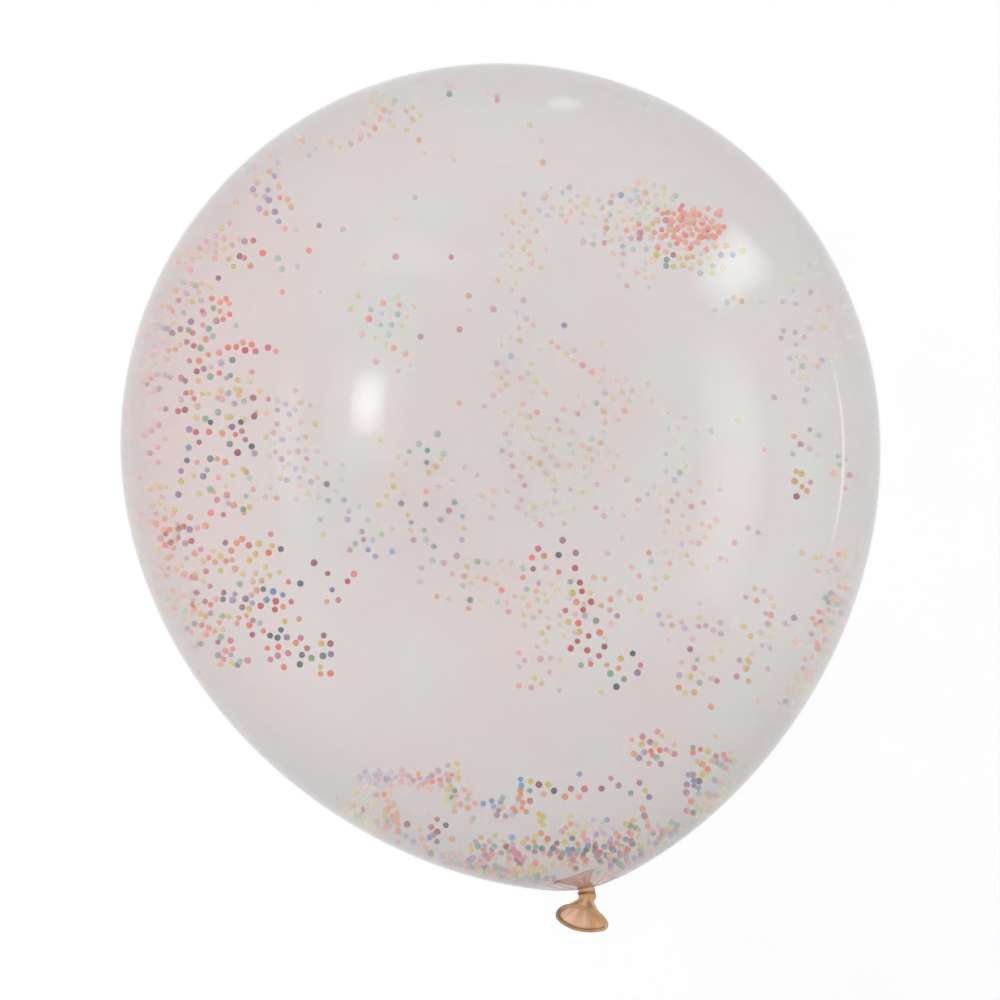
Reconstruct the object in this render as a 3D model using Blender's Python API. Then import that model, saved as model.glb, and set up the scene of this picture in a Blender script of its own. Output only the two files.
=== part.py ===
"""A round party balloon, tied off and lying on its side: body, knot, flared tail and rolled lip.

The balloon is one dipped skin, blown up and sealed, so it is one closed solid. Its outline is turned
about its long axis, which lies along Y: the crown points to +Y, the knot and the tail to -Y, and Z is up.
The wound skin of the knot then gets its turns and the tail its pleats, the tail is bent aside at the knot,
and a small flat is cut under the widest place, where the balloon rests on the ground. The origin is on the
ground, below the middle of the whole length. All sizes are in metres and all angles in degrees.
"""

import math

import bmesh
import bpy
from mathutils import Matrix, Vector

# The blown-up body
BODY_WIDTH = 0.300
CROWN_LENGTH = 0.150
SHOULDER_LENGTH = 0.1794
SHOULDER_FULLNESS = 1.27
REST_FLAT_WIDTH = 0.060

# The knot below the body
NECK_WIDTH = 0.0062
KNOT_WIDTH = 0.0074
KNOT_LENGTH = 0.0048
KNOT_TURNS = 1.5
KNOT_GROOVE_DEPTH = 0.0005

# The tail below the knot
TAIL_LENGTH = 0.0084
TAIL_SKIN = 0.0006
TAIL_FLARE = 1.3
TAIL_PLEATS = 8
PLEAT_DEPTH = 0.0003
FUNNEL_BOTTOM = 0.0012
LIP_WIDTH = 0.0220
LIP_ROLL = 0.0005
TAIL_TURN = 26.0
TAIL_LIFT = 29.0

# How finely the surfaces are divided
SIDES = 64
CROWN_STEPS = 16
SHOULDER_STEPS = 20
KNOT_STEPS = 8
FLARE_STEPS = 6
LIP_STEPS = 7
FUNNEL_STEPS = 4
MERGE_DISTANCE = 1e-6
SHARP_FROM = 35.0

# The skin's finish
LATEX_COLOUR = (0.86, 0.82, 0.80, 1.0)
LATEX_ROUGHNESS = 0.12
LATEX_SEE_THROUGH = 0.85

# Half sizes and places that follow from the sizes above
body_radius = BODY_WIDTH / 2
neck_radius = NECK_WIDTH / 2
knot_bulge = (KNOT_WIDTH - NECK_WIDTH) / 2
bead_radius = TAIL_SKIN / 2 + LIP_ROLL
neck_angle = math.acos((neck_radius / body_radius) ** (1 / SHOULDER_FULLNESS))
knot_start = SHOULDER_LENGTH * math.sin(neck_angle)
tail_start = knot_start + KNOT_LENGTH


def crown_outline():
    """A quarter of an ellipse from the tip of the crown to the widest place, as (radius, distance) pairs."""
    outline = []
    for step in range(CROWN_STEPS):
        angle = math.pi / 2 * step / CROWN_STEPS
        outline.append((body_radius * math.sin(angle), -CROWN_LENGTH * math.cos(angle)))
    return outline


def shoulder_outline():
    """From the widest place to the neck: the radius falls as a power of the cosine."""
    outline = []
    for step in range(SHOULDER_STEPS + 1):
        angle = neck_angle * step / SHOULDER_STEPS
        radius = body_radius * math.cos(angle) ** SHOULDER_FULLNESS
        outline.append((radius, SHOULDER_LENGTH * math.sin(angle)))
    return outline


def knot_outline():
    """The wound skin swells out as half a sine wave over the length of the knot."""
    outline = []
    for step in range(1, KNOT_STEPS + 1):
        share = step / KNOT_STEPS
        swell = knot_bulge * math.sin(math.pi * share)
        outline.append((neck_radius + swell, knot_start + KNOT_LENGTH * share))
    return outline


def tail_line(share):
    """Middle of the tail's skin at a share of its length, and the skin's slope there in radians."""
    first = neck_radius - TAIL_SKIN / 2
    rise = LIP_WIDTH / 2 - bead_radius - first
    radius = first + rise * share**TAIL_FLARE
    slope = math.atan2(rise * TAIL_FLARE * share ** (TAIL_FLARE - 1), TAIL_LENGTH)
    return radius, tail_start + TAIL_LENGTH * share, slope


def beside_tail_line(share, offset):
    """The point that lies off the middle of the skin by an offset, outwards if it is positive."""
    radius, distance, slope = tail_line(share)
    return radius + offset * math.cos(slope), distance - offset * math.sin(slope)


def tail_outline():
    """The outside of the flare, the round of the rolled lip and the inside of the mouth."""
    half_skin = TAIL_SKIN / 2
    outline = []
    for step in range(1, FLARE_STEPS):
        outline.append(beside_tail_line(step / FLARE_STEPS, half_skin))
    radius, distance, slope = tail_line(1.0)
    reach = math.pi - math.asin(half_skin / bead_radius)
    for step in range(LIP_STEPS + 1):
        angle = slope + reach * (1 - 2 * step / LIP_STEPS)
        across = bead_radius * math.sin(angle)
        along = bead_radius * math.cos(angle)
        outline.append((radius + across, distance + along))
    bottom_share = FUNNEL_BOTTOM / TAIL_LENGTH
    for step in range(1, FUNNEL_STEPS + 1):
        share = 1 - (1 - bottom_share) * step / FUNNEL_STEPS
        outline.append(beside_tail_line(share, -half_skin))
    outline.append((0.0, tail_start + FUNNEL_BOTTOM / 2))
    return outline


def turn_outline(bm, outline):
    """Spins the outline once round the long axis and closes it at both poles."""
    points = [bm.verts.new((radius, -distance, 0.0)) for radius, distance in outline]
    edges = [bm.edges.new(pair) for pair in zip(points, points[1:])]
    bmesh.ops.spin(
        bm, geom=points + edges, cent=(0, 0, 0), axis=(0, 1, 0), angle=2 * math.pi, steps=SIDES
    )
    bmesh.ops.remove_doubles(bm, verts=bm.verts, dist=MERGE_DISTANCE)
    bmesh.ops.recalc_face_normals(bm, faces=bm.faces)


def knot_relief(distance, angle):
    """The groove that runs round the knot between the turns of its wound skin."""
    share = (distance - knot_start) / KNOT_LENGTH
    if not 0 < share < 1:
        return 0.0
    groove = 0.5 - 0.5 * math.cos(2 * math.pi * KNOT_TURNS * share - angle)
    return -KNOT_GROOVE_DEPTH * groove * math.sin(math.pi * share)


def pleat_relief(distance, angle):
    """The gathers of the tail: none in the knot, deepest halfway along the flare and gone at the lip."""
    share = (distance - tail_start) / TAIL_LENGTH
    if not 0 < share < 1:
        return 0.0
    return PLEAT_DEPTH * math.cos(TAIL_PLEATS * angle) * math.sin(math.pi * share)


def add_relief(bm):
    """Moves the points of the knot and the tail in or out for the knot's turns and the tail's pleats."""
    for point in bm.verts:
        distance = -point.co.y
        radius = math.hypot(point.co.x, point.co.z)
        if distance <= knot_start or radius < MERGE_DISTANCE:
            continue
        angle = math.atan2(point.co.z, point.co.x)
        change = knot_relief(distance, angle) + pleat_relief(distance, angle)
        point.co.x *= 1 + change / radius
        point.co.z *= 1 + change / radius


def bend_tail(bm):
    """Bends the knot along an arc and carries the tail with it, so that the mouth looks aside and up."""
    turn, lift = math.radians(TAIL_TURN), math.radians(TAIL_LIFT)
    straight = Vector((0, -1, 0))
    tail_way = Vector((-math.cos(lift) * math.sin(turn), -math.cos(lift) * math.cos(turn), math.sin(lift)))
    whole_bend = straight.angle(tail_way)
    if not whole_bend:
        return
    hinge = straight.cross(tail_way).normalized()
    sideways = hinge.cross(straight)
    arc_radius = KNOT_LENGTH / whole_bend
    for point in bm.verts:
        distance = -point.co.y
        if distance <= knot_start:
            continue
        share = min(1.0, (distance - knot_start) / KNOT_LENGTH)
        bend = whole_bend * share
        middle = straight * (knot_start + arc_radius * math.sin(bend))
        middle += sideways * arc_radius * (1 - math.cos(bend))
        beyond = max(0.0, distance - tail_start)
        offset = Vector((point.co.x, -beyond, point.co.z))
        point.co = middle + Matrix.Rotation(bend, 3, hinge) @ offset


def cut_rest_flat(bm, height):
    """Slices the underside off level at a height and closes the cut with one flat face."""
    everything = bm.verts[:] + bm.edges[:] + bm.faces[:]
    cut = bmesh.ops.bisect_plane(
        bm, geom=everything, plane_co=(0, 0, height), plane_no=(0, 0, -1), clear_outer=True
    )
    rim = [item for item in cut["geom_cut"] if isinstance(item, bmesh.types.BMEdge)]
    bmesh.ops.contextual_create(bm, geom=rim)
    bmesh.ops.recalc_face_normals(bm, faces=bm.faces)
    return rim


def shade_round(bm, rim):
    """Smooth shading all over, with a crease where faces meet at a steep angle and round the flat."""
    for face in bm.faces:
        face.smooth = True
    for edge in bm.edges:
        edge.smooth = edge.calc_face_angle(0.0) < math.radians(SHARP_FROM)
    for edge in rim:
        edge.smooth = False


def latex_material():
    """Clear latex with a faint milky tint."""
    material = bpy.data.materials.new("clear latex")
    material.use_nodes = True
    shader = material.node_tree.nodes["Principled BSDF"]
    shader.inputs["Base Color"].default_value = LATEX_COLOUR
    shader.inputs["Roughness"].default_value = LATEX_ROUGHNESS
    shader.inputs["Metallic"].default_value = 0.0
    shader.inputs["Transmission Weight"].default_value = LATEX_SEE_THROUGH
    return material


def make_balloon():
    """The whole balloon as one object, resting on the ground with the middle of its length at the origin."""
    bm = bmesh.new()
    turn_outline(bm, crown_outline() + shoulder_outline() + knot_outline() + tail_outline())
    add_relief(bm)
    bend_tail(bm)
    rest_height = -math.sqrt(body_radius**2 - (REST_FLAT_WIDTH / 2) ** 2)
    rim = cut_rest_flat(bm, rest_height)
    shade_round(bm, rim)
    front = min(point.co.y for point in bm.verts)
    back = max(point.co.y for point in bm.verts)
    mesh = bpy.data.meshes.new("balloon")
    bm.to_mesh(mesh)
    bm.free()
    mesh.materials.append(latex_material())
    balloon = bpy.data.objects.new("balloon", mesh)
    balloon.location = (0, -(front + back) / 2, -rest_height)
    bpy.context.scene.collection.objects.link(balloon)
    return balloon


for leftover in list(bpy.data.objects):
    bpy.data.objects.remove(leftover, do_unlink=True)
make_balloon()
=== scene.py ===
"""A clear party balloon lying on a pale floor: its stretched skin, its knot with the flared tail, its beads.

Sizes are in metres unless a comment says otherwise. The long axis lies along Y with the knot at -Y, as in the
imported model, and the camera looks straight down. A distance along the axis is counted from the widest place
towards the knot, an angle round it from +X towards +Z, and the middle is that of the widest place.
"""

import logging
import math
from collections.abc import Callable
from dataclasses import dataclass
from enum import Enum
from typing import Any

import bpy
import numpy as np
from mathutils import Matrix, Vector


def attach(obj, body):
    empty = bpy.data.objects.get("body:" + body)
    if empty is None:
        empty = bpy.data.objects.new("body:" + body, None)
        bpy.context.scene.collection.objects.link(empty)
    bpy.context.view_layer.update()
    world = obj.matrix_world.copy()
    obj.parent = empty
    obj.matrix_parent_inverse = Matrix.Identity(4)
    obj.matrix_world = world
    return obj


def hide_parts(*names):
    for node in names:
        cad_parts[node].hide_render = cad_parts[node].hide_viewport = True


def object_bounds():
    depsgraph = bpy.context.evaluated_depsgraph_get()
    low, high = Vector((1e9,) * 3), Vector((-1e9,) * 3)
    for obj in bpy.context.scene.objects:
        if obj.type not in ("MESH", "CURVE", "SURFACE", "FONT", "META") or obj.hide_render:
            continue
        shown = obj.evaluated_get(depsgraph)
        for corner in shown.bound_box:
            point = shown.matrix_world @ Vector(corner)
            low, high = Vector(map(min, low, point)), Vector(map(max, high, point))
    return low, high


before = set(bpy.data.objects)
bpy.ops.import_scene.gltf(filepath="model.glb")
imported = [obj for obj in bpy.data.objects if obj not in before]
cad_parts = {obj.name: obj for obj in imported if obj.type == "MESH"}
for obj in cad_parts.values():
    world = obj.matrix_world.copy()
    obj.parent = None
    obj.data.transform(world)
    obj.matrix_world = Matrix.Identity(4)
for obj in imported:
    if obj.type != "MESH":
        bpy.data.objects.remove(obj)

CAD_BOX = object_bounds()
BODY = "root"
NODE = "balloon"
MM = 0.001
FULL_TURN = 2 * math.pi
# How far the photograph turns the knot to the right of straight down, in degrees
PHOTO_TURN = 10.99
# Where a Mix node has its two colours among its inputs, and their blend among its outputs
MIX_FIRST, MIX_SECOND, MIX_BLEND = 6, 7, 2
Colour = tuple[float, float, float]

log = logging.getLogger("balloon")


class Slot(Enum):
    """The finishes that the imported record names."""

    CLEAR = "clear_latex"
    NECK = "neck_latex"
    BEADS = "foam_beads"


class Wall(Enum):
    """The side that a bead clings to: the upper one, next to the camera, or the lower one."""

    UPPER = 1.0
    LOWER = -1.0


def unit(vectors: np.ndarray, shortest: float = 1e-12) -> np.ndarray:
    """Vectors over their own lengths, so that each is 1 long."""
    return vectors / np.maximum(np.linalg.norm(vectors, axis=-1, keepdims=True), shortest)


def once_round(count: int) -> np.ndarray:
    """Evenly spaced angles once round the axis, as one row."""
    return np.linspace(0, FULL_TURN, count, endpoint=False)[None, :]


def off_axis(radius: np.ndarray, distance: np.ndarray, angle: np.ndarray) -> np.ndarray:
    """Points at a radius, a distance along the axis and an angle round it, counted from the middle."""
    parts = np.broadcast_arrays(radius * np.cos(angle), -distance, radius * np.sin(angle))
    return np.stack(parts, axis=-1)


def linked(name: str, data: bpy.types.ID) -> bpy.types.Object:
    """Puts a new object into the scene.

    Args:
        name: Its name.
        data: Its mesh, lamp or camera.

    Returns:
        The object.
    """
    made = bpy.data.objects.new(name, data)
    bpy.context.scene.collection.objects.link(made)
    return made


@dataclass(frozen=True)
class PhotoView:
    """How the photograph sees the balloon: from straight above, turned by a few degrees."""

    turn: float = math.radians(PHOTO_TURN)
    distance: float = 3.0
    frame_width: float = 0.395
    frame_drop: float = 0.0225

    @property
    def right(self) -> np.ndarray:
        """The picture's way to the right."""
        return np.array([math.cos(self.turn), -math.sin(self.turn), 0.0])

    @property
    def up(self) -> np.ndarray:
        """The picture's way up."""
        return np.array([math.sin(self.turn), math.cos(self.turn), 0.0])


VIEW = PhotoView()


@dataclass(frozen=True)
class BalloonForm:
    """The body's outer form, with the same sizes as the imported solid."""

    width: float = 0.300
    crown_length: float = 0.150
    shoulder_length: float = 0.1794
    shoulder_fullness: float = 1.27
    rest_flat_width: float = 0.060
    neck_width: float = 0.0062
    dent_softness: float = 0.00025
    slope_step: float = 0.00001

    @property
    def radius(self) -> float:
        """Half the width."""
        return self.width / 2

    def narrowed_to(self, width: float) -> float:
        """The latitude at which the shoulder has narrowed to a width: the outline's formula turned round."""
        return math.acos((width / self.width) ** (1 / self.shoulder_fullness))

    @property
    def neck_angle(self) -> float:
        """The latitude of the neck."""
        return self.narrowed_to(self.neck_width)

    @property
    def knot_start(self) -> float:
        """How far the neck is from the widest place."""
        return self.shoulder_length * math.sin(self.neck_angle)

    @property
    def axis_height(self) -> float:
        """How high the long axis lies above the floor, with the small flat spot resting on it."""
        return math.sqrt(self.radius**2 - (self.rest_flat_width / 2) ** 2)

    @property
    def centre(self) -> np.ndarray:
        """The middle: a crown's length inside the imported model's +Y side."""
        return np.array([0.0, CAD_BOX[1].y - self.crown_length, self.axis_height])

    def outline(self, latitude: np.ndarray) -> tuple[np.ndarray, np.ndarray]:
        """The body's outline from the crown, at minus a right angle, to the neck.

        The radius is half the width times the latitude's cosine, raised to the fullness on the shoulder's
        side. The distance is that side's length times the sine.

        Args:
            latitude: Latitudes in radians.

        Returns:
            The radius and the distance along the axis at each.
        """
        shoulder = latitude > 0
        power = np.where(shoulder, self.shoulder_fullness, 1.0)
        length = np.where(shoulder, self.shoulder_length, self.crown_length)
        return self.radius * np.clip(np.cos(latitude), 0, 1) ** power, length * np.sin(latitude)

    def radius_at(self, distance: np.ndarray) -> np.ndarray:
        """The body's radius at distances, whose shares of the side's length are the latitudes' sines."""
        length = np.where(distance > 0, self.shoulder_length, self.crown_length)
        return self.outline(np.arcsin(np.clip(distance / length, -1, 1)))[0]

    def seen_at(self, places: np.ndarray, wall: Wall) -> tuple[np.ndarray, np.ndarray]:
        """The body's surface straight above or below places in the picture.

        The height over the axis is the root of the squared radius less the squared offset across, and the
        outward normal comes from the outline's slope.

        Args:
            places: Places right and up in the picture, from the middle.
            wall: The upper or the lower side.

        Returns:
            World points and outward normals, which aren't numbers beside the body.
        """
        flat = places[:, :1] * VIEW.right + places[:, 1:] * VIEW.up
        distance = -flat[:, 1]
        reach = self.radius_at(distance)
        over = reach**2 - flat[:, 0] ** 2
        height = wall.value * np.sqrt(np.where(over > 0, over, np.nan))
        step = self.slope_step
        slope = (self.radius_at(distance + step) - self.radius_at(distance - step)) / (2 * step)
        outward = unit(np.stack([flat[:, 0], slope * reach, height], axis=1))
        return np.stack([flat[:, 0], flat[:, 1], height], axis=1) + self.centre, outward

    def pictured_at(self, places: np.ndarray, wall: Wall) -> tuple[np.ndarray, np.ndarray]:
        """The body's surface that the near camera shows at places in the picture.

        Each place moves towards the picture's middle by the share that its height over the axis has in the
        camera's distance, and the surface is read there.

        Args:
            places: Places right and up in the picture, from the middle.
            wall: The upper or the lower side.

        Returns:
            World points and outward normals, as seen_at gives them.
        """
        height = self.seen_at(places, wall)[0][:, 2:] - self.axis_height
        middle = np.array([0.0, -VIEW.frame_drop])
        return self.seen_at(middle + (places - middle) * (1 - height / VIEW.distance), wall)

    def rest(self, points: np.ndarray, clearance: float = 0.0) -> np.ndarray:
        """Lifts what would reach below the floor onto it.

        The height over the clearance becomes the softness times the logarithm of 1 plus the exponential of
        itself over the softness.

        Args:
            points: World points.
            clearance: The height above the floor that they come to rest at.

        Returns:
            The points with their new heights.
        """
        lifted = points.copy()
        over = (points[..., 2] - clearance) / self.dent_softness
        lifted[..., 2] = clearance + self.dent_softness * np.logaddexp(0, over)
        return lifted


FORM = BalloonForm()


class Surface:
    """A mesh made from grids of points, whose rows run along a piece and whose columns go round it."""

    def __init__(self) -> None:
        """Starts with no points."""
        self.points: list[np.ndarray] = []
        self.faces: list[np.ndarray] = []
        self.values: dict[str, list[np.ndarray]] = {}
        self.count = 0

    def add(self, grid: np.ndarray, inward: bool = False, **values: np.ndarray) -> None:
        """Adds a closed grid: its columns join round, and its first and last rows are each one pole.

        Args:
            grid: Points in rows along and columns round.
            inward: Turns the faces round, for the wall of a hollow.
            values: Numbers at the grid's points, one array per attribute name.
        """
        rows, columns = grid.shape[:2]
        body = np.arange((rows - 2) * columns).reshape(rows - 2, columns) + 1
        after = np.roll(body, -1, axis=1)
        last = (rows - 2) * columns + 1
        start, end = np.zeros(columns, int), np.full(columns, last)
        quads = np.stack([body[:-1], after[:-1], after[1:], body[1:]], axis=-1).reshape(-1, 4)
        first_fan = np.stack([start, after[0], body[0]], axis=-1)
        last_fan = np.stack([end, body[-1], after[-1]], axis=-1)
        for faces in (quads, first_fan, last_fan):
            self.faces.append((faces[:, ::-1] if inward else faces) + self.count)
        self.points.append(self.trim(grid))
        for name, value in values.items():
            self.values.setdefault(name, []).append(self.trim(value[..., None])[:, 0])
        self.count += last + 1

    @staticmethod
    def trim(grid: np.ndarray) -> np.ndarray:
        """The grid's points as one list, with a single point for each pole."""
        return np.concatenate([grid[0, :1], grid[1:-1].reshape(-1, grid.shape[-1]), grid[-1, :1]])

    def add_copies(self, points: np.ndarray, faces: list[np.ndarray], **values: np.ndarray) -> None:
        """Adds many copies of one small closed shape.

        Args:
            points: The corners of every copy, as copies by corners by three.
            faces: The shape's faces by its own corner numbers, one array per number of corners.
            values: One number per copy for each attribute name.
        """
        copies, corners = points.shape[:2]
        offsets = self.count + corners * np.arange(copies)
        for kind in faces:
            self.faces.append((kind[None] + offsets[:, None, None]).reshape(-1, kind.shape[1]))
        self.points.append(points.reshape(-1, 3))
        for name, value in values.items():
            self.values.setdefault(name, []).append(np.repeat(value, corners))
        self.count += copies * corners

    def build(self, name: str, material: bpy.types.Material, slot: Slot) -> bpy.types.Object:
        """Puts the arrays into a mesh, smooth shaded, and hangs the piece on the balloon's body.

        Args:
            name: The piece's name.
            material: What it is dressed in.
            slot: The record's finish that it stands for. It is not used.

        Returns:
            The new object, at the origin.
        """
        mesh = bpy.data.meshes.new(name)
        corners = np.concatenate([faces.ravel() for faces in self.faces])
        sizes = np.concatenate([np.full(len(faces), faces.shape[1]) for faces in self.faces])
        mesh.vertices.add(self.count)
        mesh.vertices.foreach_set("co", np.concatenate(self.points).astype(np.float32).ravel())
        mesh.loops.add(len(corners))
        mesh.loops.foreach_set("vertex_index", corners.astype(np.int32))
        mesh.polygons.add(len(sizes))
        mesh.polygons.foreach_set("loop_start", (np.cumsum(sizes) - sizes).astype(np.int32))
        mesh.polygons.foreach_set("use_smooth", np.ones(len(sizes), bool))
        for attribute, parts in self.values.items():
            data = mesh.attributes.new(attribute, "FLOAT", "POINT").data
            data.foreach_set("value", np.concatenate(parts).astype(np.float32))
        mesh.update(calc_edges=True)
        mesh.validate()
        mesh.materials.append(material)
        piece = linked(name, mesh)
        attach(piece, BODY)
        return piece


def maths(operation: str, reflected: bool = False) -> Callable[["Wire", Any], "Wire"]:
    """An operator for wires, which makes one Math node.

    Args:
        operation: What the node does.
        reflected: Puts the other value first, as in 1 - wire.

    Returns:
        The method that Python calls for the operator.
    """

    def operator(wire: "Wire", other: Any) -> "Wire":
        """The wire and another value, through the node."""
        pair = (other, wire) if reflected else (wire, other)
        return wire.bench.node("ShaderNodeMath", {"operation": operation}, dict(enumerate(pair)))

    return operator


@dataclass(frozen=True)
class Wire:
    """The output of a shader node, on which plain arithmetic builds Math nodes."""

    bench: "Bench"
    socket: bpy.types.NodeSocket

    __add__ = maths("ADD")
    __radd__ = maths("ADD", reflected=True)
    __sub__ = maths("SUBTRACT")
    __rsub__ = maths("SUBTRACT", reflected=True)
    __mul__ = maths("MULTIPLY")
    __rmul__ = maths("MULTIPLY", reflected=True)


class Bench:
    """A node tree of a material, a lamp or the world, with the few things that a finish asks of it."""

    def __init__(self, owner: bpy.types.ID) -> None:
        """Empties a tree.

        Args:
            owner: The material, lamp or world that has the tree.
        """
        owner.use_nodes = True
        self.owner = owner
        self.tree = owner.node_tree
        self.tree.nodes.clear()

    @classmethod
    def of_material(cls, name: str) -> "Bench":
        """A bench for a new material."""
        return cls(bpy.data.materials.new(name))

    def node(
        self, kind: str, settings: dict[str, Any], sockets: dict[Any, Any], output: Any = 0
    ) -> Wire | None:
        """Makes one node.

        Args:
            kind: The node's type.
            settings: Its properties, which are set first.
            sockets: Values or wires for its inputs, by name or number. A plain colour gets full alpha.
            output: The name or number of the output to hand back.

        Returns:
            That output, or nothing where the node has none.
        """
        made = self.tree.nodes.new(kind)
        for name, value in settings.items():
            setattr(made, name, value)
        for name, value in sockets.items():
            socket = made.inputs[name]
            if isinstance(value, Wire):
                self.tree.links.new(value.socket, socket)
            else:
                socket.default_value = (*value, 1.0) if socket.type == "RGBA" else value
        return Wire(self, made.outputs[output]) if len(made.outputs) else None

    def place(self) -> Wire:
        """Where a point is on the piece, which is also where it is in the world."""
        return self.node("ShaderNodeTexCoord", {}, {}, "Object")

    def part(self, vector: Wire, axis: str) -> Wire:
        """One of the three numbers of a vector."""
        return self.node("ShaderNodeSeparateXYZ", {}, {"Vector": vector}, axis)

    def value(self, attribute: str) -> Wire:
        """A number kept at the piece's points."""
        return self.node("ShaderNodeAttribute", {"attribute_name": attribute}, {}, "Fac")

    def edge_on(self, blend: float = 0.5) -> Wire:
        """How nearly edge on the surface is seen, from 0 to 1."""
        return self.node("ShaderNodeLayerWeight", {}, {"Blend": blend}, "Facing")

    def noise(self, vector: Wire, scale: float, detail: float = 2.0) -> Wire:
        """Cloudy noise from 0 to 1, with so many lumps to a metre."""
        sockets = {"Vector": vector, "Scale": scale, "Detail": detail}
        return self.node("ShaderNodeTexNoise", {}, sockets, "Fac")

    def between(self, share: Wire, first: Any, second: Any) -> Wire:
        """A colour that goes from the first to the second as the share goes from 0 to 1."""
        sockets = {"Factor": share, MIX_FIRST: first, MIX_SECOND: second}
        return self.node("ShaderNodeMix", {"data_type": "RGBA"}, sockets, MIX_BLEND)

    def bump(self, height: Wire, distance: float) -> Wire:
        """A normal tilted by a height that is scaled to the distance."""
        return self.node("ShaderNodeBump", {}, {"Height": height, "Distance": distance}, "Normal")

    def finish(self, sockets: dict[str, Any]) -> bpy.types.Material:
        """Ends a material's tree in a Principled shader.

        Args:
            sockets: Values or wires for the shader's inputs.

        Returns:
            The material.
        """
        shader = self.node("ShaderNodeBsdfPrincipled", {}, sockets)
        self.node("ShaderNodeOutputMaterial", {}, {"Surface": shader})
        return self.owner


@dataclass(frozen=True)
class ClearLatex:
    """The stretched skin: clear, with a faint milky cast, and amber pink where it thickens at the neck.

    It looks denser where it is seen edge on, because the way through the film is longer there.
    """

    pinkish: Colour = (0.876, 0.802, 0.802)
    greenish: Colour = (0.838, 0.846, 0.832)
    blush: Colour = (0.868, 0.790, 0.780)
    blush_edge: Colour = (0.42, 0.345, 0.335)
    edge: Colour = (0.40, 0.365, 0.360)
    dense: Colour = (0.12, 0.11, 0.10)
    thick: Colour = (0.76, 0.47, 0.43)
    dense_face_on: float = 0.10
    see_through: float = 0.92
    gloss: float = 0.015
    dullness: float = 0.03
    thick_dullness: float = 0.28
    bend: float = 1.36
    cast_lumps: float = 30.0
    cast_contrast: float = 2.4
    smears: float = 70.0

    def material(self) -> bpy.types.Material:
        """The finish as nodes.

        Returns:
            The material.
        """
        bench = Bench.of_material("clear latex")
        place = bench.place()
        lumps = (bench.noise(place, self.cast_lumps) - 0.5) * self.cast_contrast + 0.5 + bench.value("cool")
        blush = bench.value("blush")
        cast = bench.between(blush, bench.between(lumps, self.pinkish, self.greenish), self.blush)
        edge = bench.between(blush, self.edge, self.blush_edge)
        edge_on = bench.edge_on()
        edge_share = edge_on * edge_on * edge_on
        film = bench.between(edge_share, cast, edge)
        denseness = bench.value("denseness")
        dense_share = (edge_share * edge_on * denseness + self.dense_face_on) * denseness
        film = bench.between(dense_share, film, self.dense)
        thickness = bench.value("thickness")
        smears = bench.noise(place, self.smears, detail=1.0) * self.dullness
        return bench.finish(
            {
                "Base Color": bench.between(thickness, film, self.thick),
                "Roughness": self.gloss + smears + thickness * thickness * self.thick_dullness,
                "IOR": self.bend,
                "Transmission Weight": self.see_through,
            }
        )


@dataclass(frozen=True)
class NeckLatex:
    """The latex that isn't stretched: amber and glossy, with painted highlights on its ridges and in stripes
    down the inside of the mouth, and painted shade in its folds, grooves and hollows and on the left of the
    knot and lip.

    It is also painted darker where it is seen edge on, partly for the longer way through the latex and partly
    as
    painted shade. It glows very faintly: painted light, for the light that comes through it.
    """

    cream: Colour = (0.78, 0.49, 0.26)
    amber: Colour = (0.64, 0.36, 0.155)
    ridge: Colour = (1.0, 0.68, 0.50)
    fold: Colour = (0.17, 0.080, 0.028)
    edge_depth: float = 0.80
    sheen: float = 0.22
    unevenness: float = 0.25
    glow: float = 0.15
    glow_reach: float = 0.0010
    glow_tint: Colour = (1.0, 0.5, 0.25)
    lumps: float = 420.0
    grain: float = 2600.0
    grain_depth: float = 0.00006
    light_through: float = 0.16

    def material(self) -> bpy.types.Material:
        """The finish as nodes.

        Returns:
            The material.
        """
        bench = Bench.of_material("neck latex")
        place = bench.place()
        lumps = bench.noise(place, self.lumps, detail=3.0)
        edge_on = bench.edge_on()
        colour = bench.between(lumps, self.cream, self.amber)
        # Painted highlights: the pleats' ridges and the stripes inside the mouth go paler
        colour = bench.between(bench.value("ridge"), colour, self.ridge)
        # Painted shade: folds, grooves, hollows and left sides go dark brown, and so, partly for thicker
        # latex, do the lip and what is seen edge on
        colour = bench.between(bench.value("fold") + edge_on * edge_on * self.edge_depth, colour, self.fold)
        return bench.finish(
            {
                "Base Color": colour,
                "Roughness": self.sheen + lumps * self.unevenness,
                # A faint painted glow, for the light that comes through the latex
                "Emission Color": colour,
                "Emission Strength": self.light_through,
                "Subsurface Weight": self.glow,
                "Subsurface Radius": self.glow_tint,
                "Subsurface Scale": self.glow_reach,
                "Normal": bench.bump(bench.noise(place, self.grain), self.grain_depth),
            }
        )


@dataclass(frozen=True)
class Foam:
    """Expanded foam of one colour, which is paler in some beads than in others."""

    name: str
    deep: Colour
    pale: Colour
    roughness: float = 0.62
    unevenness: float = 0.25
    cells: float = 2600.0
    cell_depth: float = 0.00006
    glow: float = 0.07

    def material(self) -> bpy.types.Material:
        """The finish as nodes.

        Returns:
            The material.
        """
        bench = Bench.of_material(f"foam {self.name}")
        sockets = {"Vector": bench.place(), "Scale": self.cells}
        cells = bench.node("ShaderNodeTexVoronoi", {}, sockets, "Distance")
        # Paler or deeper by bead: partly tones that differ, partly painted light and shade
        colour = bench.between(bench.value("paleness"), self.deep, self.pale)
        return bench.finish(
            {
                "Base Color": colour,
                "Roughness": self.roughness + cells * self.unevenness,
                # A faint painted glow, for the light that comes through the foam
                "Emission Color": colour,
                "Emission Strength": self.glow,
                "Normal": bench.bump(cells, self.cell_depth),
            }
        )


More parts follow.
